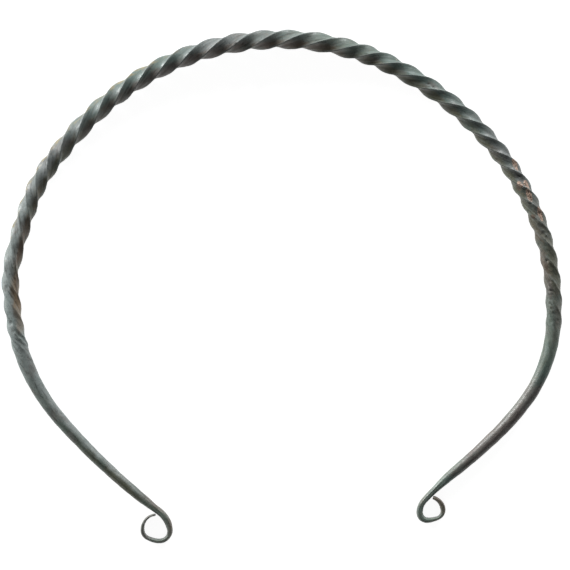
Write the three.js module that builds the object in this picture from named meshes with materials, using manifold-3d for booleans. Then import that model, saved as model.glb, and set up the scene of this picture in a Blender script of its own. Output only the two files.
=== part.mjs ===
// A bronze torc: an open neck ring made of one bar. The bow is twisted, the two arms are
// plain and taper, and each end is beaten to a thin band and rolled outwards into an eye.
// It lies flat with +Z up and its mouth towards -Y. Lengths are in millimetres.

import * as THREE from 'three';
import { mergeVertices } from 'three/addons/utils/BufferGeometryUtils.js';
import Module from 'manifold-3d';

const { degToRad, lerp } = THREE.MathUtils;

// The centre line leaves the crown of the bow along both arms. Each stretch is an arc,
// [radius, turn in degrees]; a negative radius bends away from the ring, as the eyes do.
const CROWN_SLOPE = -0.6;
const LEFT_ARCS = [
  [87, 44.1], [121, 10], [52, 16.9], [162, 6.7], [29, 19], [441, 1.1], [62, 33.8], [210, 12],
  [-8.7, 44.2], [-3.3, 98.7], [-8.3, 29.1], [-2.8, 44.5], [-4.5, 102.6],
];
const RIGHT_ARCS = [
  [80, 24.7], [101, 26.9], [81.6, 40.5], [47, 34.8], [93, 8.2], [210, 4.8],
  [-110, 7.1], [-6, 40.8], [-2.6, 96.1], [-11.1, 15.3], [-2.8, 78.9], [-4.5, 65.6],
];

// The bar along each arm: [distance from the crown, width, height, ridged, band].
// Ridged is 1 where the bar has its four ridges; band is 1 where it is a flat strip on edge.
const LEFT_BAR = [
  [76, 6.4, 6.4, 1, 0], [146, 5.6, 5.6, 1, 0], [158, 4.9, 4.9, 0, 0], [168, 4.4, 4.6, 0, 0],
  [200, 3.6, 4.4, 0, 0], [213, 3.2, 4.3, 0, 0.3], [219, 2.2, 4.3, 0, 1], [226, 2, 4.3, 0, 1],
  [231, 1.4, 4.3, 0, 1], [241, 1.2, 4.3, 0, 1], [247.5, 0.6, 4.3, 0, 1],
];
const RIGHT_BAR = [
  [22, 6.4, 6.4, 1, 0], [90, 5.8, 5.8, 1, 0], [138, 5.4, 5.4, 1, 0], [148, 4.6, 4.8, 0, 0],
  [157, 4.2, 4.6, 0, 0], [176, 4.1, 4.5, 0, 0], [200, 3.2, 4.3, 0, 0.3], [208, 2, 4.3, 0, 1],
  [214, 1.7, 4.3, 0, 1], [218.5, 2, 4.3, 0, 1], [224.5, 1, 4.3, 0, 1], [229, 1.6, 4.3, 0, 1],
  [233.3, 1.1, 4.3, 0, 1],
];

// The twist is left-handed and uneven: the length of each half turn, from left to right.
const TWIST_START = -156;
const HALF_TURNS = [
  12.2, 14.3, 18, 14.3, 14.3, 18.7, 16.2, 16.5, 16.8, 16.9,
  18.8, 13.7, 16.9, 15.7, 14.3, 12.7, 11.9, 13.5, 13.7, 14.1,
];
const TWIST_EASE = 2.5; // how far a change of pitch is spread to each side
const RIDGES = 4;
const HOLLOW = 0.28; // depth between two ridges, as a share of the ridge's radius
const BAND_CORNER = 6; // how square a band is; 2 is an ellipse
const WEAR = 0.15; // depth of the flats worn on the underside, and of each band's edges
const ARM_LIFT = 0.03; // the round stretch of each arm just clears the ground

// Faceting: sides round the bar, and the length of one facet in each stretch.
const SIDES = 16;
const BOW_START = -160;
const BOW_END = 150;
const BOW_STEP = 1.6;
const ARM_STEP = 3.6;
const EYE_LENGTH = 32;
const EYE_STEP = 1.15;

const arcLength = (radius, turn) => Math.abs(radius) * degToRad(turn);
const lengthOf = (arcs) => arcs.reduce((sum, [radius, turn]) => sum + arcLength(radius, turn), 0);
const LEFT_LENGTH = lengthOf(LEFT_ARCS);
const RIGHT_LENGTH = lengthOf(RIGHT_ARCS);

// A place on the ring is its distance from the crown along the centre line: below zero on
// the left arm, above zero on the right arm.
function centreLine(distance) {
  const side = distance < 0 ? -1 : 1;
  let rest = Math.abs(distance);
  let heading = degToRad(CROWN_SLOPE) + (side < 0 ? Math.PI : 0);
  const place = new THREE.Vector2();
  for (const [radius, turn] of side < 0 ? LEFT_ARCS : RIGHT_ARCS) {
    const length = Math.min(rest, arcLength(radius, turn));
    const bend = -side / radius;
    const next = heading + bend * length;
    place.x += (Math.sin(next) - Math.sin(heading)) / bend;
    place.y -= (Math.cos(next) - Math.cos(heading)) / bend;
    heading = next;
    rest -= length;
  }
  const outward = new THREE.Vector2(-side * Math.sin(heading), side * Math.cos(heading));
  return { place, outward };
}

// The bar's sizes at a place, between two rows of its arm's list.
function barAt(distance) {
  const rows = distance < 0 ? LEFT_BAR : RIGHT_BAR;
  const along = Math.abs(distance);
  const after = rows.findIndex((row) => row[0] >= along);
  if (after === 0) return rows[0].slice(1);
  if (after < 0) return rows.at(-1).slice(1);
  const share = (along - rows[after - 1][0]) / (rows[after][0] - rows[after - 1][0]);
  return rows[after].slice(1).map((value, i) => lerp(rows[after - 1][i + 1], value, share));
}

// Turns of the twist between its start and a place.
function turnsTo(distance) {
  let rest = distance - TWIST_START;
  let turns = 0;
  for (const length of HALF_TURNS) {
    turns += THREE.MathUtils.clamp(rest / length, 0, 1) / 2;
    rest -= length;
  }
  return turns;
}

// The same with each change of pitch spread out.
function easedTurns(distance) {
  return (turnsTo(distance - TWIST_EASE) + turnsTo(distance + TWIST_EASE)) / 2;
}

// A corner of the ridged section stays on its ridge as the bar turns.
function ridgedPoint(angle, size, turned) {
  const dip = HOLLOW * (1 - Math.cos(RIDGES * angle)) / 2;
  const radius = size / 2 * (1 - dip);
  return new THREE.Vector2(Math.cos(turned), Math.sin(turned)).multiplyScalar(radius);
}

// A plain section goes from an ellipse to a strip with square corners and a flat top edge.
function plainPoint(turned, width, height, band) {
  const power = 2 / lerp(2, BAND_CORNER, band);
  const bow = (value) => Math.sign(value) * Math.abs(value) ** power;
  const across = bow(Math.cos(turned)) * width / 2;
  const up = bow(Math.sin(turned)) * height / 2;
  return new THREE.Vector2(across, Math.min(up, height / 2 - WEAR * band));
}

// A point of the bar: round its section by angle, and reach is 1 on the surface.
function barSurface(distance, angle, reach) {
  const [width, height, ridged, band] = barAt(distance);
  const turned = angle - 2 * Math.PI * easedTurns(distance);
  const point = plainPoint(turned, width, height, band)
    .lerp(ridgedPoint(angle, width, turned), ridged)
    .multiplyScalar(reach);
  const { place, outward } = centreLine(distance);
  place.addScaledVector(outward, point.x);
  const sunk = Math.max(ridged, band) * (WEAR + ARM_LIFT);
  return new THREE.Vector3(place.x, place.y, height / 2 + ARM_LIFT - sunk + point.y);
}

// The places of all facet edges along the bar, from the left tip to the right tip.
function stations() {
  const marks = [
    [-LEFT_LENGTH, EYE_STEP], [EYE_LENGTH - LEFT_LENGTH, ARM_STEP], [BOW_START, BOW_STEP],
    [BOW_END, ARM_STEP], [RIGHT_LENGTH - EYE_LENGTH, EYE_STEP], [RIGHT_LENGTH, 0],
  ];
  const places = [];
  for (let i = 0; i + 1 < marks.length; i += 1) {
    const [from, step] = marks[i];
    const steps = Math.ceil((marks[i + 1][0] - from) / step);
    for (let k = 0; k < steps; k += 1) {
      places.push(lerp(from, marks[i + 1][0], k / steps));
    }
  }
  return [...places, RIGHT_LENGTH];
}

// Vertices at one place become one, so that the surface is closed.
function mergedGeometry(geometry) {
  geometry.deleteAttribute('normal');
  geometry.deleteAttribute('uv');
  return mergeVertices(geometry);
}

// A straight closed cylinder of unit size is laid along the centre line.
function barGeometry() {
  const places = stations();
  const geometry = mergedGeometry(new THREE.CylinderGeometry(1, 1, 1, SIDES, places.length - 1));
  const position = geometry.attributes.position;
  const corner = new THREE.Vector3();
  for (let i = 0; i < position.count; i += 1) {
    corner.fromBufferAttribute(position, i);
    const station = Math.round((corner.y + 0.5) * (places.length - 1));
    const angle = Math.atan2(-corner.z, corner.x);
    const reach = Math.hypot(corner.x, corner.z);
    const { x, y, z } = barSurface(places[station], angle, reach);
    position.setXYZ(i, x, y, z);
  }
  return geometry;
}

const wasm = await Module();
wasm.setup();

function solidOf(geometry) {
  const vertProperties = Float32Array.from(geometry.attributes.position.array);
  const triVerts = Uint32Array.from(geometry.index.array);
  return new wasm.Manifold(new wasm.Mesh({ numProp: 3, vertProperties, triVerts }));
}

function geometryOf(solid) {
  const mesh = solid.getMesh();
  const geometry = new THREE.BufferGeometry();
  geometry.setAttribute('position', new THREE.BufferAttribute(mesh.vertProperties, 3));
  geometry.setIndex(new THREE.BufferAttribute(mesh.triVerts, 1));
  geometry.computeVertexNormals();
  return geometry;
}

// The ridges and the band edges that would reach below the ground are worn flat there.
function torcGeometry() {
  const bar = barGeometry();
  bar.computeBoundingBox();
  const size = bar.boundingBox.getSize(new THREE.Vector3());
  const middle = bar.boundingBox.getCenter(new THREE.Vector3());
  bar.translate(-middle.x, -middle.y, 0);
  const ground = mergedGeometry(new THREE.BoxGeometry(2 * size.x, 2 * size.y, size.z));
  ground.translate(0, 0, -size.z / 2);
  return geometryOf(solidOf(bar).subtract(solidOf(ground)));
}

const PATINA = { color: 0x4a534c, roughness: 0.55, metalness: 0.35 };
const bronze = new THREE.MeshStandardMaterial(PATINA);

const torc = new THREE.Mesh(torcGeometry(), bronze);
torc.name = 'torc';

const part = new THREE.Group();
part.add(torc);

export default part;
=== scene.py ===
# %% [markdown]
# # A bronze torc, lying on a pale table
#
# The real thing is one bar of bronze. A smith hammered it square, twisted the middle part,
# drew both ends out to plain tapering arms, beat each tip into a thin band and rolled it
# outwards into a small eye. A long time in the ground gave it a green-grey skin with brown
# and tan patches.
#
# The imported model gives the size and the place. The shape below is made in the smith's own
# order: a straight bar is drawn out and twisted, then bent along the line of the ring.

# %% Load the frame
import math

import bmesh
import bpy
import numpy as np
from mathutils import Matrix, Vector


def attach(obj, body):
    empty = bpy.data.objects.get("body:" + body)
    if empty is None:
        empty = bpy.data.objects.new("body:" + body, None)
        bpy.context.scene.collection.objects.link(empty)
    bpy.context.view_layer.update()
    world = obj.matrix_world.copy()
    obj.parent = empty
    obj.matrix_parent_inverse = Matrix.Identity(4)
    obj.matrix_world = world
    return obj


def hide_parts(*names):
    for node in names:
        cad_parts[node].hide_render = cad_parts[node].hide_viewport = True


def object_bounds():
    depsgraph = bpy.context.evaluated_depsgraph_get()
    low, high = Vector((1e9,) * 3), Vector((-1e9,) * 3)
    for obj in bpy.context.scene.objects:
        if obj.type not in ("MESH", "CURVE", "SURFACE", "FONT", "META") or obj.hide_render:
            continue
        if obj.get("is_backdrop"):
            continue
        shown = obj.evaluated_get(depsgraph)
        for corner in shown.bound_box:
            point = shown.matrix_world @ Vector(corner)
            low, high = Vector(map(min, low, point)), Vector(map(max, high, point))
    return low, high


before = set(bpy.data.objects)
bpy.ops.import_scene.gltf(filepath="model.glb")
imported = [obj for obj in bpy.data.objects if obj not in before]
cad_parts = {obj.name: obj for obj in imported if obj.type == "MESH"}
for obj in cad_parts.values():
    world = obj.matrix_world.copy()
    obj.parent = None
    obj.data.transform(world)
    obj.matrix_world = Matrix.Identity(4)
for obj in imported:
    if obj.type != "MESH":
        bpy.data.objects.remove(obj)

MM = 0.001
CAD_LOW, CAD_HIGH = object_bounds()
print("the ring's box in mm:", [round(side / MM, 2) for side in CAD_HIGH - CAD_LOW])

# %% [markdown]
# The line of the ring is a chain of arcs, as a template of bent wire would be. Both arms
# start at the crown of the bow. Each stretch is a radius in millimetres and a turn in
# degrees, and a negative radius bends the other way, which rolls the tip outwards.

# %% The arcs of the centre line
CROWN_SLOPE = -0.6
LEFT_ARCS = [
    (87, 44.1), (121, 10), (52, 16.9), (162, 6.7), (29, 19), (441, 1.1), (62, 33.8), (210, 12),
    (-8.7, 44.2), (-3.3, 98.7), (-8.3, 29.1), (-2.8, 44.5), (-4.5, 102.6),
]
RIGHT_ARCS = [
    (80, 24.7), (101, 26.9), (81.6, 40.5), (47, 34.8), (93, 8.2), (210, 4.8),
    (-110, 7.1), (-6, 40.8), (-2.6, 96.1), (-11.1, 15.3), (-2.8, 78.9), (-4.5, 65.6),
]


def length_of(arcs):
    return sum(abs(radius) * math.radians(turn) for radius, turn in arcs)


LEFT_LENGTH = length_of(LEFT_ARCS)
RIGHT_LENGTH = length_of(RIGHT_ARCS)
print("left arm", round(LEFT_LENGTH, 1), "mm, right arm", round(RIGHT_LENGTH, 1), "mm")

# %% [markdown]
# Operators act on whatever is selected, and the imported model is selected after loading. A few
# small helpers keep that in hand.

# %% Helpers for selecting
def select_only(thing):
    """Makes one object the only selected one, and the active one."""
    bpy.ops.object.select_all(action="DESELECT")
    thing.select_set(True)
    bpy.context.view_layer.objects.active = thing


def edit(thing):
    """Opens one object for editing by its vertices, with nothing selected."""
    select_only(thing)
    bpy.ops.object.mode_set(mode="EDIT")
    bpy.ops.mesh.select_mode(type="VERT")
    bpy.ops.mesh.select_all(action="DESELECT")


def done():
    bpy.ops.object.mode_set(mode="OBJECT")


# %% [markdown]
# The template is drawn by spinning one point round the centre of each arc in turn, as with a
# pair of compasses. It could be a list of points, but a few arcs are smooth and easy to
# change. Spin turns clockwise for a positive angle here.

# %% Draw the template
ARC_STEP = math.radians(4)
LONGEST_STEP = 1.0


def draw_arm(name, arcs, side):
    """A chain of edges from the crown to one tip. Side is -1 on the left and 1 on the right."""
    bpy.ops.object.select_all(action="DESELECT")
    bpy.ops.mesh.primitive_circle_add(vertices=3, radius=MM)
    arm = bpy.context.object
    arm.name = name
    edit(arm)
    bpy.ops.mesh.select_all(action="SELECT")
    bpy.ops.mesh.merge(type="CENTER")
    place = Vector((0, 0, 0))
    heading = math.radians(CROWN_SLOPE) + (math.pi if side < 0 else 0)
    for radius, turn in arcs:
        bend = -side * math.copysign(1, radius)
        angle = math.radians(turn)
        to_centre = Vector((-math.sin(heading), math.cos(heading), 0)) * bend
        centre = place + to_centre * abs(radius) * MM
        steps = math.ceil(max(angle / ARC_STEP, abs(radius) * angle / LONGEST_STEP))
        bpy.ops.mesh.spin(steps=steps, angle=-bend * angle, center=centre, axis=(0, 0, 1))
        heading += bend * angle
        to_centre = Vector((-math.sin(heading), math.cos(heading), 0)) * bend
        place = centre - to_centre * abs(radius) * MM
    done()
    return arm, place


left_arm, left_tip = draw_arm("left_template", LEFT_ARCS, -1)
right_arm, right_tip = draw_arm("right_template", RIGHT_ARCS, 1)
print("tips in mm from the crown:", [round(c / MM, 1) for c in (*left_tip[:2], *right_tip[:2])])

# %% [markdown]
# The bar will be bent along the template in one go, so the two arms become one curve that
# runs from the left tip to the right. It could be bent arm by arm, but then the bar would
# need a join at the crown.

# %% Join the two arms to one curve
SAME_PLACE = 0.01

select_only(right_arm)
left_arm.select_set(True)
bpy.ops.object.join()
edit(right_arm)
bpy.ops.mesh.select_all(action="SELECT")
bpy.ops.mesh.remove_doubles(threshold=SAME_PLACE * MM)
done()
bpy.ops.object.convert(target="CURVE")
template = bpy.context.object
template.name = "template"
first = template.data.splines[0].points[0].co.to_3d()
if (first - left_tip).length > (first - right_tip).length:
    bpy.ops.object.mode_set(mode="EDIT")
    bpy.ops.curve.select_all(action="SELECT")
    bpy.ops.curve.switch_direction()
    bpy.ops.object.mode_set(mode="OBJECT")
template.data.twist_mode = "Z_UP"
template.data.use_path = True
print("template points:", len(template.data.splines[0].points))

# %% [markdown]
# The straight bar comes next. Each row below is a place on it, counted from the crown, with
# its width and height in millimetres. Ridged is 1 where the bar is square with four ridges and
# 0 where it is round. Band is 1 where it is beaten to a strip that stands on edge. Between two
# rows the sizes change evenly, as they do between two heats at the forge.

# %% The bar's sizes
BAR = [
    (-247.8, 0.6, 4.3, 0, 1), (-241, 1.2, 4.3, 0, 1), (-231, 1.4, 4.3, 0, 1),
    (-226, 2.0, 4.3, 0, 1), (-219, 2.2, 4.3, 0, 1), (-213, 3.2, 4.3, 0, 0.3),
    (-200, 3.6, 4.4, 0, 0), (-168, 4.4, 4.6, 0, 0), (-158, 4.9, 4.9, 0, 0),
    (-146, 5.6, 5.6, 0.6, 0), (-125, 5.8, 5.8, 0.85, 0), (-76, 6.4, 6.4, 1, 0),
    (22, 6.4, 6.4, 1, 0), (90, 5.8, 5.8, 1, 0), (115, 5.6, 5.6, 0.8, 0),
    (138, 5.4, 5.4, 0.5, 0), (148, 4.6, 4.8, 0, 0),
    (157, 4.2, 4.6, 0, 0), (176, 4.1, 4.5, 0, 0), (200, 3.2, 4.3, 0, 0.3),
    (208, 2.0, 4.3, 0, 1), (214, 1.7, 4.3, 0, 1), (218.5, 2.0, 4.3, 0, 1),
    (224.5, 1.0, 4.3, 0, 1), (229, 1.6, 4.3, 0, 1), (233.3, 1.1, 4.3, 0, 1),
]
BAR_TABLE = np.array(BAR, float)


def bar_at(distance):
    """Width, height, ridged and band at a place."""
    return [float(np.interp(distance, BAR_TABLE[:, 0], BAR_TABLE[:, i])) for i in range(1, 5)]


# %% [markdown]
# The twist was done hot and by eye, so no two turns are alike. The list has the length of
# each half turn from the left end of the twist to the right. Each change of pitch is spread a
# little to both sides, so that no ridge has a kink.

# %% The twist
TWIST_START = -156
HALF_TURNS = [
    12.2, 14.3, 18, 14.3, 14.3, 18.7, 16.2, 16.5, 16.8, 16.9,
    18.8, 13.7, 16.9, 15.7, 14.3, 12.7, 11.9, 13.5, 13.7, 14.1,
]
TWIST_EASE = 2.5
TURN_ENDS = TWIST_START + np.concatenate([[0], np.cumsum(HALF_TURNS)])


def turned_to(distance):
    """The bar's turn in radians between the start of the twist and a place."""
    sides = np.interp([distance - TWIST_EASE, distance + TWIST_EASE], TURN_ENDS,
                      np.arange(len(TURN_ENDS)) * math.pi)
    return float(sides.mean())


# %% [markdown]
# A bar like this can be lofted between drawn sections, or pulled out of one section a short
# step at a time. Pulling is nearer to the forge: after each extrusion the end is turned,
# sized, and its points are drawn in or pushed out. One ring has 16 points: a ridge, a
# slope, the middle of a face, a slope, four times round.

# %% Draw out the bar
RING = 16
FACE_INSET = 0.25  # how far the middle of a face lies in, as a share of the ridge's reach
SHOULDER = 0.3  # how far the slopes come out from the face towards the ridge
SQUARE = 0.2  # how far a band's corners are pushed out
PLAIN_DRAW = 1.026  # smoothing shrinks the bar, so it is drawn a little larger
RIDGE_DRAW = 1.02
WEAR = 0.15  # depth of the flats worn on the underside
ARM_LIFT = 0.03  # the round arms just clear the table
BOW = (-160, 150)
EYE_LENGTH = 32
STEPS = {"eye": 0.9, "arm": 1.9, "bow": 1.5}


def stations():
    """Every place where the bar is turned and sized, from the left tip to the right."""
    marks = [
        (-LEFT_LENGTH, "eye"), (EYE_LENGTH - LEFT_LENGTH, "arm"), (BOW[0], "bow"),
        (BOW[1], "arm"), (RIGHT_LENGTH - EYE_LENGTH, "eye"), (RIGHT_LENGTH, None),
    ]
    places = []
    for (start, kind), (end, _) in zip(marks, marks[1:]):
        count = math.ceil((end - start) / STEPS[kind])
        places += list(np.linspace(start, end, count, endpoint=False))
    return places + [RIGHT_LENGTH]


def section(distance):
    """Half sizes, centre height and the reach of slopes and faces, for one ring."""
    width, height, ridged, band = bar_at(distance)
    draw = PLAIN_DRAW + (RIDGE_DRAW - PLAIN_DRAW) * ridged
    face = 1 - FACE_INSET * ridged + SQUARE * band
    centre = height / 2 + ARM_LIFT - max(ridged, band) * (WEAR + ARM_LIFT)
    return {
        "wide": width / 2 * draw * MM, "high": height / 2 * draw * MM,
        "centre": centre * MM, "slope": face + (1 - face) * SHOULDER, "face": face,
    }


places = stations()
print(len(places), "stations")

# %% [markdown]
# The bar starts as one flat ring at the left tip. For each station its end is extruded, turned
# by the twist and sized. Only the change from the last section is applied, because the new
# ring starts as a copy of the last one.

# %% Pull, turn and size
SLOPES = slice(1, RING, 2)
FACES = slice(2, RING, 4)
LEAST_CHANGE = 1e-6


def size_spokes(bar, spokes, change, axis_point):
    """Draws some points of the newest ring in or out from the bar's axis."""
    if abs(change - 1) < LEAST_CHANGE:
        return
    mesh = bmesh.from_edit_mesh(bar.data)
    mesh.verts.ensure_lookup_table()
    ring = mesh.verts[-RING:]
    for vertex in ring:
        vertex.select = False
    for vertex in ring[spokes]:
        vertex.select = True
    bpy.ops.transform.resize(value=(change,) * 3, center_override=axis_point)


def select_ring(bar):
    """Selects the newest ring and the face that closes it."""
    mesh = bmesh.from_edit_mesh(bar.data)
    mesh.verts.ensure_lookup_table()
    for vertex in mesh.verts[-RING:]:
        vertex.select = True
    mesh.select_flush(True)


def shape_ring(bar, x, now, before):
    """Sizes the newest ring from the last section to this one."""
    axis_point = (x, 0, now["centre"])
    growth = (1, now["wide"] / before["wide"], now["high"] / before["high"])
    bpy.ops.transform.resize(value=growth, center_override=axis_point)
    size_spokes(bar, SLOPES, now["slope"] / before["slope"], axis_point)
    size_spokes(bar, FACES, now["face"] / before["face"], axis_point)
    select_ring(bar)


ROUND = {"wide": MM, "high": MM, "centre": 0, "slope": 1, "face": 1}
bpy.ops.object.select_all(action="DESELECT")
bpy.ops.mesh.primitive_circle_add(vertices=RING, radius=MM, fill_type="NGON")
bar = bpy.context.object
bar.name = "torc_bar"
edit(bar)
bpy.ops.mesh.select_all(action="SELECT")
bpy.ops.transform.rotate(value=math.pi / 2, orient_axis="Y", center_override=(0, 0, 0))
before = section(places[0])
bpy.ops.transform.translate(value=(0, 0, before["centre"]))
shape_ring(bar, 0, before, {**ROUND, "centre": before["centre"]})
for last, place in zip(places, places[1:]):
    now = section(place)
    pull = ((place - last) * MM, 0, now["centre"] - before["centre"])
    bpy.ops.mesh.extrude_region_move(
        TRANSFORM_OT_translate={"value": pull, "orient_type": "GLOBAL"})
    x = (place - places[0]) * MM
    turn = turned_to(place) - turned_to(last)
    bpy.ops.transform.rotate(value=turn, orient_axis="X", center_override=(x, 0, now["centre"]))
    shape_ring(bar, x, now, before)
    before = now
done()
print("bar:", len(bar.data.vertices), "points,", len(bar.data.polygons), "faces")

# %% [markdown]
# The hammer left the four ridges crisper than the faces between them. A crease on the edges
# that run along each ridge keeps them so when the bar is subdivided. It could be a bevel too,
# but a crease costs no faces and can be set with one number.

# %% Crease the ridges
CREASE = 0.6
CLEARLY_RIDGED = 0.3


def crease_ridges(bar):
    """Creases every edge that runs from ridge to ridge along the ridged part of the bar."""
    edit(bar)
    bpy.ops.mesh.select_mode(type="EDGE")
    mesh = bmesh.from_edit_mesh(bar.data)
    for edge in mesh.edges:
        a, b = sorted(vertex.index for vertex in edge.verts)
        x = edge.verts[0].co.x / MM - LEFT_LENGTH
        edge.select = b - a == RING and a % 4 == 0 and bar_at(x)[2] > CLEARLY_RIDGED
    bpy.ops.transform.edge_crease(value=CREASE)
    done()


crease_ridges(bar)

# %% [markdown]
# Subdividing twice rounds the ridges and faces and gives the relief something to move. The
# ends first get an inset face each, so that they stay blunt.

# %% Blunt the ends and smooth the bar
TIP_INSET = 0.12


def apply_modifier(thing, kind, name, **settings):
    """Adds one modifier, sets it and applies it."""
    select_only(thing)
    modifier = thing.modifiers.new(name, kind)
    for key, value in settings.items():
        setattr(modifier, key, value)
    bpy.ops.object.modifier_apply(modifier=name)


edit(bar)
mesh = bmesh.from_edit_mesh(bar.data)
for face in mesh.faces:
    face.select = len(face.verts) == RING
bpy.ops.mesh.select_mode(type="FACE")
bpy.ops.mesh.inset(thickness=TIP_INSET * MM, use_individual=True)
bpy.ops.mesh.select_all(action="SELECT")
bpy.ops.mesh.normals_make_consistent(inside=False)
done()
apply_modifier(bar, "SUBSURF", "smooth", levels=2, render_levels=2)
print("smooth bar:", len(bar.data.polygons), "faces")

# %% [markdown]
# The finish and the relief need to know where on the bar each point is. Three things are kept
# before anything is bent: the place on the straight bar, the place on the square blank before
# it was twisted, and how near a point is to a ridge. Patterns on the blank run along the
# ridges, as the marks of drawing and hammering do.

# %% Remember the straight bar
CROWN_HALF = 20


def keep(bar, name, kind, values):
    """Stores one value or vector for each point of the bar."""
    attribute = bar.data.attributes.new(name, kind, "POINT")
    attribute.data.foreach_set("vector" if kind == "FLOAT_VECTOR" else "value", np.ravel(values))


def places_on_bar(bar):
    """The points of the straight bar: distance from the crown, outwards, and above the axis."""
    points = np.empty(len(bar.data.vertices) * 3)
    bar.data.vertices.foreach_get("co", points)
    points = points.reshape(-1, 3)
    points[:, 0] -= LEFT_LENGTH * MM
    centres = np.array([section(place)["centre"] for place in places])
    points[:, 2] -= np.interp(points[:, 0], np.array(places) * MM, centres)
    return points


straight = places_on_bar(bar)
turned = np.interp(straight[:, 0] / MM, places, [turned_to(place) for place in places])
angle = np.arctan2(straight[:, 2], straight[:, 1]) + turned
reach = np.hypot(straight[:, 1], straight[:, 2])
blank = np.stack([straight[:, 0], reach * np.cos(angle), reach * np.sin(angle)], axis=1)
ridged = np.interp(straight[:, 0] / MM, BAR_TABLE[:, 0], BAR_TABLE[:, 3])
keep(bar, "straight", "FLOAT_VECTOR", straight)
keep(bar, "blank", "FLOAT_VECTOR", blank)
keep(bar, "ridge", "FLOAT", (1 + np.cos(4 * angle) * ridged) / 2)
crown = np.abs(straight[:, 0]) < CROWN_HALF * MM
print("crown: ridges reach", (reach[crown].max() / MM).round(2), "mm, faces",
      (reach[crown].min() / MM).round(2), "mm")

# %% [markdown]
# Hammering and corrosion left the surface uneven. Lumps a few millimetres long come from a
# Displace modifier with a cloud pattern, and finer ones from a second. A vertex group
# says how strong the second is along the bar: most at the right end of the twist, where the
# skin has flaked.

# %% Uneven surface
LUMPS = {"size": 3.2, "depth": 0.22}
FLAKES = {"size": 1.1, "depth": 0.26}
# Each pair is the distance from the crown and the strength of the finer lumps there.
FLAKED = [(-250, 0.1), (-150, 0.25), (-128, 0.5), (-100, 0.45), (-40, 0.35), (40, 0.3),
          (78, 0.35), (86, 1.0), (108, 0.9), (128, 0.8), (140, 0.3), (160, 0.1), (235, 0.05)]


def cloud(name, size):
    """A smooth cloud pattern with features of about one size in millimetres."""
    texture = bpy.data.textures.new(name, "CLOUDS")
    texture.noise_scale = size * MM
    texture.noise_depth = 2
    return texture


flaked = np.interp(straight[:, 0] / MM, *np.transpose(FLAKED))
group = bar.vertex_groups.new(name="flaked")
for index, weight in enumerate(flaked):
    group.add([index], float(weight), "REPLACE")
apply_modifier(bar, "DISPLACE", "lumps", texture=cloud("lumps", LUMPS["size"]),
               strength=LUMPS["depth"] * MM, texture_coords="LOCAL")
apply_modifier(bar, "DISPLACE", "flakes", texture=cloud("flakes", FLAKES["size"]),
               strength=FLAKES["depth"] * MM, texture_coords="LOCAL", vertex_group="flaked")

# %% [markdown]
# Single marks are pushed in or pulled out one by one, as with a punch: the nearest point of the
# skin is moved along its normal and its neighbours follow, by proportional editing. Around
# is an angle in degrees: 0 is the outer side of the ring, 90 the top and 180 the inner side.

# %% Pits, dents and lumps
# Each mark is its distance from the crown, the angle around, its height and its size.
MARKS = [
    (-142.6, 62, -0.5, 1.1), (-128.9, 58, 0.35, 0.5), (-131, 66, -0.25, 0.9),
    (-119, 120, 0.2, 0.8), (-104, 100, -0.25, 0.7), (-88.5, 70, -0.2, 0.8),
    (-30.2, 95, -0.35, 0.8), (-15.5, 100, -0.4, 0.6), (-13.2, 106, -0.45, 0.6),
    (-12.5, 118, -0.3, 0.7), (13.8, 96, 0.25, 0.4), (49.4, 72, -0.4, 0.5),
    (51, 68, -0.45, 0.5), (52.6, 74, -0.35, 0.5), (87, 48, -0.3, 1.1), (91, 76, -0.4, 0.9),
    (94, 60, 0.3, 1.0), (95.5, 84, -0.5, 0.8), (98, 72, 0.25, 1.1), (100.2, 96, -0.35, 0.8),
    (104.8, 58, -0.25, 1.2), (106, 102, -0.2, 0.8), (119.6, 112, -0.5, 0.8),
    (120.6, 100, 0.25, 0.5), (128.6, 124, 0.3, 0.8), (126.5, 118, -0.3, 0.7),
    (134.6, 122, 0.35, 0.8), (132.6, 116, -0.25, 0.7), (138.6, 60, 0.2, 0.5),
    (139.5, 112, -0.2, 0.9),
]


def mark(bar, distance, around, height, size):
    """Moves the skin out at one place, or in where the height is below zero."""
    mesh = bmesh.from_edit_mesh(bar.data)
    turn = math.radians(around)
    width = bar_at(distance)[0] / 2 * MM
    centre = section(distance)["centre"]
    aim = Vector(((distance + LEFT_LENGTH) * MM, width * math.cos(turn),
                  centre + width * math.sin(turn)))
    nearest = min(mesh.verts, key=lambda vertex: (vertex.co - aim).length_squared)
    bpy.ops.mesh.select_all(action="DESELECT")
    nearest.select = True
    bpy.ops.transform.translate(value=nearest.normal * height * MM, use_proportional_edit=True,
                                proportional_edit_falloff="SMOOTH", proportional_size=size * MM)


# Each rib is a row of marks from one distance and angle to another.
RIBS = [
    ((-150, 140), (-143.6, 42), 0.42, 0.85), ((126.4, 140), (130, 108), 0.3, 0.7),
    ((132.8, 140), (136.4, 104), 0.4, 0.75), ((119.4, 150), (126, 106), 0.22, 0.7),
    ((104, 140), (112, 62), 0.25, 0.7), ((-133, 150), (-121, 112), 0.22, 0.7),
]
RIB_STEP = 0.6


def rib(bar, start, end, height, size):
    """A low rib over the skin between two places."""
    for distance, around in np.linspace(start, end, math.ceil((end[0] - start[0]) / RIB_STEP)):
        mark(bar, distance, around, height * RIB_STEP / size, size)


edit(bar)
for one in MARKS:
    mark(bar, *one)
for one in RIBS:
    rib(bar, *one)
done()
print(len(MARKS), "marks and", len(RIBS), "ribs")

# %% [markdown]
# Now the bar is bent round the template by a Curve modifier. Bending comes last, as at the
# forge, because a straight bar is easier to twist and to mark. Then everything that would
# reach below the table is flattened to it, as long wear did.

# %% Bend the bar
def box_of(thing):
    """The lowest and the highest corner of an object's box."""
    corners = np.array(thing.bound_box)
    return Vector(corners.min(axis=0)), Vector(corners.max(axis=0))


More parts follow.
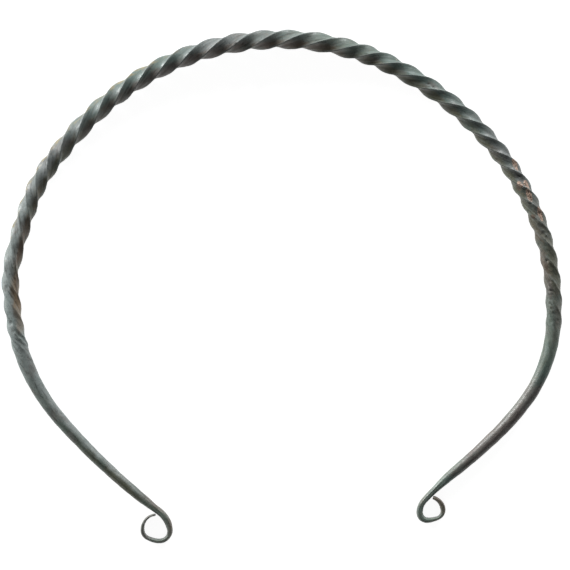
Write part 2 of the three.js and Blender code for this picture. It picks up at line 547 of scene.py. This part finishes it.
apply_modifier(bar, "CURVE", "bend", object=template, deform_axis="POS_X")
low, high = box_of(bar)
middle = (CAD_LOW + CAD_HIGH - low - high) / 2
edit(bar)
bpy.ops.mesh.select_all(action="SELECT")
bpy.ops.transform.translate(value=(middle.x, middle.y, 0))
bpy.ops.mesh.select_all(action="DESELECT")
mesh = bmesh.from_edit_mesh(bar.data)
for vertex in mesh.verts:
    vertex.select = vertex.co.z < 0
mesh.select_flush(True)
bpy.ops.transform.resize(value=(1, 1, 0), center_override=(0, 0, 0))
done()
bpy.ops.object.shade_smooth()
bpy.data.objects.remove(template)
low, high = box_of(bar)
print("ring in mm:", [round(side / MM, 2) for side in high - low])
bar.name = "bronze_torc"

# %% [markdown]
# The skin is a thin mineral layer and not paint: dull, a little glossy where it was handled,
# and never one colour. Most of it is green-grey. It turns brown and purple-brown on the
# inner flanks, which over the bow are also painted darker as shade; it is tan where soil
# clings, blue-green in some places, and the bare alloy shows pink in a few scraped spots.
# The hollow middles of the faces get painted shade. All of this is one node tree, built from
# the three things that were kept with the bar.

# %% Colours of the skin
SKIN = {
    "grey": (0.205, 0.215, 0.190), "green": (0.150, 0.195, 0.165), "sage": (0.200, 0.250, 0.205),
    "teal": (0.120, 0.185, 0.165), "slate": (0.185, 0.205, 0.205), "olive": (0.130, 0.135, 0.090),
    "brown": (0.150, 0.115, 0.085), "plum": (0.165, 0.145, 0.135), "tan": (0.330, 0.240, 0.150),
    # The soot colour also serves as painted shade in the hollow middles of the faces.
    "ochre": (0.300, 0.260, 0.155), "pink": (0.700, 0.500, 0.390), "soot_and_shade": (0.030, 0.030, 0.026),
    "bloom": (0.330, 0.380, 0.370),
}
patina = bpy.data.materials.new("bronze_patina")
patina.use_nodes = True
tree = patina.node_tree
shader = tree.nodes["Principled BSDF"]


def node(kind, inputs=(), **settings):
    """Adds a node and sets its properties. Inputs are names or numbers with values or links."""
    made = tree.nodes.new(kind)
    for key, value in settings.items():
        setattr(made, key, value)
    for key, value in dict(inputs).items():
        if isinstance(value, bpy.types.NodeSocket):
            tree.links.new(value, made.inputs[key])
        else:
            made.inputs[key].default_value = value
    return made


def calc(operation, *values):
    """One step of arithmetic."""
    return node("ShaderNodeMath", enumerate(values), operation=operation).outputs[0]


def fade(value, start, end):
    """0 before start, 1 after end, and smooth between."""
    made = node("ShaderNodeMapRange", {"Value": value, "From Min": start, "From Max": end},
                interpolation_type="SMOOTHSTEP")
    return made.outputs["Result"]


def blend(share, under, over):
    """One colour over another. A colour may be a name from the list."""
    colours = [(*SKIN[c], 1) if isinstance(c, str) else c for c in (under, over)]
    made = node("ShaderNodeMix", data_type="RGBA")
    tree.links.new(share, made.inputs[0])
    for socket, colour in zip((made.inputs[6], made.inputs[7]), colours):
        if isinstance(colour, bpy.types.NodeSocket):
            tree.links.new(colour, socket)
        else:
            socket.default_value = colour
    return made.outputs[2]


def kept(name, output="Vector"):
    return node("ShaderNodeAttribute", attribute_name=name).outputs[output]


def grain(place, size, detail=3.0, stretch=1.0, seed=0.0):
    """Noise from 0 to 1 with features of one size in millimetres, drawn out along the bar."""
    scaled = node("ShaderNodeMapping", {"Vector": place, "Location": (seed, seed, seed),
                                        "Scale": (1 / stretch, 1, 1)}).outputs[0]
    inputs = {"Vector": scaled, "Scale": 1 / (size * MM), "Detail": detail}
    return node("ShaderNodeTexNoise", inputs).outputs[0]


straight_place = kept("straight")
blank_place = kept("blank")
ridge = kept("ridge", "Fac")
split = node("ShaderNodeSeparateXYZ", {"Vector": straight_place})
along, outward = split.outputs[:2]
print(len(SKIN), "colours")

# %% [markdown]
# The ground colour changes along the bar in long soft zones. One colour ramp holds the upper
# and outer skin and a second one the inner and lower skin, and the place across the bar
# chooses between them, with noise to break the border. The inner ramp holds the skin's own
# brown, and over the bow it is also darker as painted shade on the flanks that face away
# from the lamps.

# %% Zones along the bar
# Each zone is the distance from the crown in millimetres where its colour is purest.
UPPER_ZONES = [
    (-246, "grey"), (-222, "green"), (-205, "olive"), (-180, "green"), (-150, "bloom"),
    (-128, "bloom"), (-105, "bloom"), (-90, "slate"), (-45, "teal"), (-20, "slate"),
    (20, "green"), (45, "teal"), (84, "slate"), (105, "grey"), (122, "olive"), (138, "grey"),
    (147, "sage"), (156, "teal"), (168, "plum"), (190, "plum"), (201, "teal"), (215, "green"),
    (224, "sage"), (233, "brown"),
]
# The inner ramp: the skin's brown, and over the bow darker colours that are painted shade.
INNER_ZONES_AND_SHADE = [
    (-246, "grey"), (-222, "brown"), (-200, "bloom"), (-165, "bloom"), (-148, "bloom"),
    (-138, "tan"), (-115, "brown"), (-90, "olive"), (-40, "plum"), (0, "brown"), (40, "olive"),
    (84, "olive"), (100, "olive"), (122, "brown"), (136, "green"), (150, "sage"), (165, "grey"),
    (190, "plum"), (205, "sage"), (222, "brown"), (233, "brown"),
]
WANDER = 20  # how far a zone's border may drift along the bar, in millimetres
RAGGED = 3  # and the border between the two ramps, across the bar


def zones(name, rows):
    """A colour ramp from the left tip to the right tip."""
    length = (LEFT_LENGTH + RIGHT_LENGTH) * MM
    drift = grain(straight_place, 9, seed=0.31)
    wander = calc("MULTIPLY_ADD", drift, WANDER * MM, along)
    share = calc("DIVIDE", calc("ADD", wander, (LEFT_LENGTH - WANDER / 2) * MM), length)
    made = node("ShaderNodeValToRGB", {"Fac": share}, name=name)
    ramp = made.color_ramp
    ramp.elements.remove(ramp.elements[1])
    for i, (distance, colour) in enumerate(rows):
        position = (distance + LEFT_LENGTH) * MM / length
        stop = ramp.elements[0] if i == 0 else ramp.elements.new(position)
        stop.position = position
        stop.color = (*SKIN[colour], 1)
    return made.outputs["Color"]


border = grain(straight_place, 2.5, stretch=2.0, seed=0.57)
ragged = calc("MULTIPLY_ADD", border, RAGGED * MM, -RAGGED / 2 * MM)
side = fade(calc("ADD", outward, ragged), -1.6 * MM, 0.4 * MM)
# The inner ramp brings painted shade onto the inner flanks of the bow.
colour = blend(side, zones("inner zones and shade", INNER_ZONES_AND_SHADE), zones("upper zones", UPPER_ZONES))

# %% [markdown]
# Over the zones come the smaller things: cloudy patches, streaks that run with the ridges, a
# pale bloom on the worn ridges, painted shade that darkens the hollow middles of the faces,
# and fine speckle. Each layer covers the last by a share that noise gives, as one crust grows
# over another; the painted shade follows the hollows of the section instead.

# %% Patches, streaks and speckle
patches = grain(straight_place, 4.5, detail=4, stretch=1.6, seed=0.13)
streaks = grain(blank_place, 0.7, detail=3, stretch=7.0, seed=0.77)
speckle = grain(straight_place, 0.45, detail=2, seed=0.91)
# Each layer is what drives it, where that starts and where it is full, its share, its colour.
LAYERS = [
    (patches, 0.52, 0.68, 0.45, "teal"), (patches, 0.46, 0.34, 0.5, "plum"),
    (streaks, 0.5, 0.72, 0.35, "bloom"), (streaks, 0.47, 0.3, 0.55, "soot_and_shade"),
    # The second ridge row is painted shade: it darkens the hollow middles of the faces, where the
    # ridges shade them.
    (ridge, 0.75, 1.0, 0.3, "bloom"), (ridge, 0.3, 0.0, 0.2, "soot_and_shade"),
    (speckle, 0.58, 0.75, 0.4, "tan"), (speckle, 0.44, 0.28, 0.5, "soot_and_shade"),
]
for driver, start, full, share, name in LAYERS:
    colour = blend(calc("MULTIPLY", fade(driver, start, full), share), colour, name)
print(len(LAYERS), "layers")

# %% [markdown]
# Soil clings to the outer side of the left half, and the alloy shows in scraped spots. The
# spots are dabs: each is a place on the bar, and the skin is changed near it, with a ragged
# edge from noise.

# %% Soil and bare spots
def near(distance, around, length, width):
    """1 in the middle of a dab, 0 outside it. Length and width are in millimetres."""
    turn = math.radians(around)
    half = bar_at(distance)[0] / 2
    centre = (distance * MM, half * math.cos(turn) * MM, half * math.sin(turn) * MM)
    offset = node("ShaderNodeVectorMath", {0: straight_place, 1: centre}, operation="SUBTRACT")
    scale = (1 / (length * MM), 1 / (width * MM), 1 / (width * MM))
    scaled = node("ShaderNodeVectorMath", {0: offset.outputs[0], 1: scale}, operation="MULTIPLY")
    size = node("ShaderNodeVectorMath", {0: scaled.outputs[0]}, operation="LENGTH")
    return fade(size.outputs["Value"], 1.0, 0.2)


def dabs(rows):
    """The strongest of several dabs at each place."""
    total = near(*rows[0])
    for row in rows[1:]:
        total = calc("MAXIMUM", total, near(*row))
    return total


def ragged_dabs(rows, noise):
    """Dabs that noise has eaten into."""
    return fade(calc("ADD", dabs(rows), noise), 0.72, 0.86)


# Each dab is its distance from the crown, the angle around, its length and its width.
BARE = [(87.2, 44, 3.0, 1.6), (94.3, 50, 2.4, 1.7), (97.8, 78, 3.4, 1.5), (93.2, 98, 2.0, 1.1),
        (105, 55, 3.8, 1.4), (66, 52, 1.3, 0.8), (76, 44, 1.2, 0.7)]
STAINS = [(94.2, 128, 2.2, 1.4), (104.6, 116, 1.2, 0.9), (-213.5, 20, 3.0, 1.2),
          (-12.6, 122, 1.6, 0.9), (-225.6, 90, 1.4, 1.6), (-118, 135, 9, 1.4),
          (-130, 150, 8, 1.2), (231.5, 90, 3, 2)]
soil_belt = calc("MULTIPLY", fade(along, -128 * MM, -112 * MM), fade(along, -28 * MM, -44 * MM))
soil = calc("MULTIPLY", soil_belt, fade(outward, 1.6 * MM, 2.7 * MM))
crumbs = grain(straight_place, 1.6, detail=5, stretch=1.5, seed=0.44)
colour = blend(calc("MULTIPLY", soil, fade(crumbs, 0.4, 0.65)), colour, "ochre")
colour = blend(ragged_dabs(STAINS, crumbs), colour, "brown")
bare = ragged_dabs(BARE, crumbs)
colour = blend(bare, colour, blend(fade(speckle, 0.35, 0.6), "brown", "pink"))
tree.links.new(colour, shader.inputs["Base Color"])

# %% [markdown]
# The same noises drive how glossy and how rough the skin is, so that the marks agree with
# the colours. The relief is real mesh. Bump only adds the grain that is finer than the faces.

# %% Gloss and fine grain
FINE_GRAIN = 0.06
ROUGHNESS = {"skin": 0.36, "speckle": 0.22, "faces": 0.15}
SPECULAR = 0.6
rough = fade(speckle, 0.3, 0.7)
rough = calc("MULTIPLY_ADD", rough, ROUGHNESS["speckle"], ROUGHNESS["skin"])
faces = calc("MULTIPLY", fade(ridge, 0.6, 0.1), ROUGHNESS["faces"])
tree.links.new(calc("ADD", rough, faces), shader.inputs["Roughness"])
shader.inputs["Specular IOR Level"].default_value = SPECULAR
fine = calc("ADD", calc("MULTIPLY", speckle, 0.7), calc("MULTIPLY", streaks, 0.6))
fine = calc("ADD", fine, calc("MULTIPLY", crumbs, 0.8))
bump = node("ShaderNodeBump", {"Height": fine, "Distance": FINE_GRAIN * MM, "Strength": 1.0})
tree.links.new(bump.outputs[0], shader.inputs["Normal"])

bar.data.materials.append(patina)
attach(bar, "root")
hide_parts("torc")

# %% [markdown]
# The ring lies on a plain white table. The table glows a little by itself, so that it looks
# evenly white and shows hardly any shadow, as a sheet of opal glass with a lamp under it
# does. It throws no light back onto the bronze: the undersides stay dark.

# %% Table
TABLE_SIZE = 12
TABLE_WHITE = 0.5
TABLE_GLOW = 0.93
bpy.ops.object.select_all(action="DESELECT")
bpy.ops.mesh.primitive_plane_add(size=TABLE_SIZE)
table = bpy.context.object
table.name = "table"
table.visible_diffuse = False
table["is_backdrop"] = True
white = bpy.data.materials.new("opal_white")
white.use_nodes = True
opal = white.node_tree.nodes["Principled BSDF"]
opal.inputs["Base Color"].default_value = (TABLE_WHITE,) * 3 + (1,)
opal.inputs["Roughness"].default_value = 1.0
opal.inputs["Specular IOR Level"].default_value = 0.0
opal.inputs["Emission Color"].default_value = (1, 1, 1, 1)
opal.inputs["Emission Strength"].default_value = TABLE_GLOW
table.data.materials.append(white)

# %% [markdown]
# Two soft lamps stand low beyond the crown of the bow, one to each side, as on a copy stand.
# Light that grazes the bar makes every ridge bright on one flank and dark on the other. A
# weak lamp at the mouth and an even light from all round keep the dark flanks readable.

# %% Light
LAMP_DISTANCE = 3.0
LAMP_SIZE = 1.0
LAMPS = {
    "left_lamp": {"heading": 142, "height": 8, "power": 112},
    "right_lamp": {"heading": 64, "height": 12, "power": 62},
    "mouth_lamp": {"heading": 275, "height": 8, "power": 9},
}
FILL = 0.1

world = bpy.data.worlds.new("studio")
bpy.context.scene.world = world
world.use_nodes = True
sky = world.node_tree.nodes["Background"]
sky.inputs["Color"].default_value = (1, 1, 1, 1)
sky.inputs["Strength"].default_value = FILL


def soft_lamp(name, heading, height, power):
    """A round area lamp that points at the middle of the ring. The angles are in degrees."""
    flat = math.radians(heading)
    rise = math.radians(height)
    ray = Vector((math.cos(flat) * math.cos(rise), math.sin(flat) * math.cos(rise), math.sin(rise)))
    bpy.ops.object.light_add(type="AREA", location=ray * LAMP_DISTANCE)
    lamp = bpy.context.object
    lamp.name = name
    lamp.data.shape = "DISK"
    lamp.data.size = LAMP_SIZE
    lamp.data.energy = power
    lamp.rotation_euler = (-ray).to_track_quat("-Z", "Y").to_euler()


for name, settings in LAMPS.items():
    soft_lamp(name, **settings)

# %% [markdown]
# The camera looks straight down through a long lens, so that the near and the far side of
# the bar show at one scale.

# %% Camera
VIEW_WIDTH = 183.54 * MM
VIEW_CENTRE = Vector((1.005, 0.483, 0)) * MM
LENS = 200
SENSOR = 36
BAR_MIDDLE = 3 * MM
FAR = 20
bpy.ops.object.camera_add(location=(*VIEW_CENTRE[:2], VIEW_WIDTH * LENS / SENSOR + BAR_MIDDLE))
camera = bpy.context.object
camera.name = "camera"
camera.data.lens = LENS
camera.data.sensor_width = SENSOR
camera.data.clip_end = FAR
bpy.context.scene.camera = camera
bpy.context.scene.view_settings.view_transform = "Standard"

# %% [markdown]
# The size of everything that shows is measured, as the imported model's was at the start, so
# that the two can be compared.

# %% Sizes
low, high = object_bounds()
